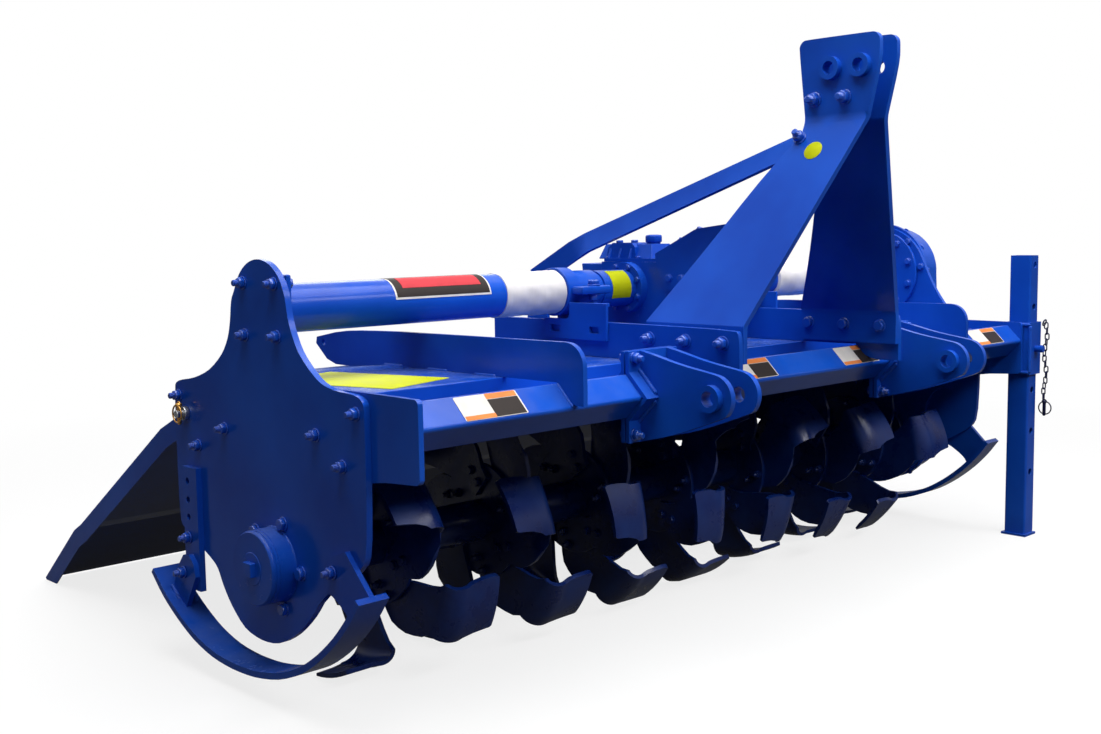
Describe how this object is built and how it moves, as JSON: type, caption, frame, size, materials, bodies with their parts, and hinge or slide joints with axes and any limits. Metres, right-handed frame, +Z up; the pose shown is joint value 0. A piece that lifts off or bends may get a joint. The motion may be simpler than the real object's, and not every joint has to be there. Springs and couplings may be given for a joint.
{
  "type": "rotary tiller",
  "caption": "Three-point hitch rotary tiller: bladed rotor under a hood, side drive, gearbox, mast, skids, trailing board and parking stand.",
  "frame": {"origin": "centre of the bounding box's underside, on the floor", "axes": "+X along the working width towards the side drive, -Y towards the tractor, +Z up"},
  "size_m": [2.1866, 1.7192, 1.2019],
  "materials": {
    "blue_paint": "gloss",
    "blade_paint": "semi-gloss",
    "white_wrap": "matte",
    "bright_steel": "satin"
  },
  "bodies": {
    "frame": {"bearing_hub_right": "blue_paint", "end_plate_left": "blue_paint", "end_plate_right": "blue_paint", "front_beam": "blue_paint", "gearbox_cover": "blue_paint", "gearbox_housing": "blue_paint", "hinge_rod": "bright_steel", "hitch_lug_left": "blue_paint", "hitch_lug_right": "blue_paint", "hood_deck": "blue_paint", "hood_rib_left": "blue_paint", "hood_rib_right": "blue_paint", "input_guard": "blue_paint", "mast_base_left": "blue_paint", "mast_base_right": "blue_paint", "mast_brace": "blue_paint", "mast_plate_left": "blue_paint", "mast_plate_right": "blue_paint", "mast_spacer_front": "blue_paint", "mast_spacer_rear": "blue_paint", "side_drive_case": "blue_paint", "side_plate_left": "blue_paint", "side_plate_right": "blue_paint", "skid_left": "blue_paint", "skid_right": "blue_paint", "stand_socket": "blue_paint", "support_tube_left": "blue_paint", "support_tube_right": "blue_paint", "tube_clamp_left": "blue_paint", "tube_clamp_right": "blue_paint", "tube_sleeve_left": "white_wrap", "tube_sleeve_right": "white_wrap"},
    "rotor": {"rotor_shaft": "blade_paint", "rotor_gang_1": "blade_paint", "rotor_gang_2": "blade_paint", "rotor_gang_3": "blade_paint", "rotor_gang_4": "blade_paint", "rotor_gang_5": "blade_paint", "rotor_gang_6": "blade_paint", "rotor_gang_7": "blade_paint"},
    "input": {"input_shaft": "bright_steel"},
    "board": {"trailing_board": "blue_paint"},
    "stand": {"stand_leg": "blue_paint"}
  },
  "joints": [
    {"name": "rotor_spin", "type": "hinge", "parent": "frame", "child": "rotor", "pos_m": [-0.011, -0.24759, 0.24491], "axis": [1, 0, 0], "continuous": true},
    {"name": "input_spin", "type": "hinge", "parent": "frame", "child": "input", "pos_m": [-0.011, -0.49759, 0.69991], "axis": [0, -1, 0], "continuous": true},
    {"name": "board_hinge", "type": "hinge", "parent": "frame", "child": "board", "pos_m": [-0.011, 0.05741, 0.48991], "axis": [1, 0, 0], "range_deg": [-9.4, 35]},
    {"name": "stand_slide", "type": "slide", "parent": "frame", "child": "stand", "axis": [0, 0, 1], "range_m": [0, 0.42]}
  ],
  "couplings": [
    {"joint": "input_spin", "follows": "rotor_spin", "ratio": 2.57}
  ]
}
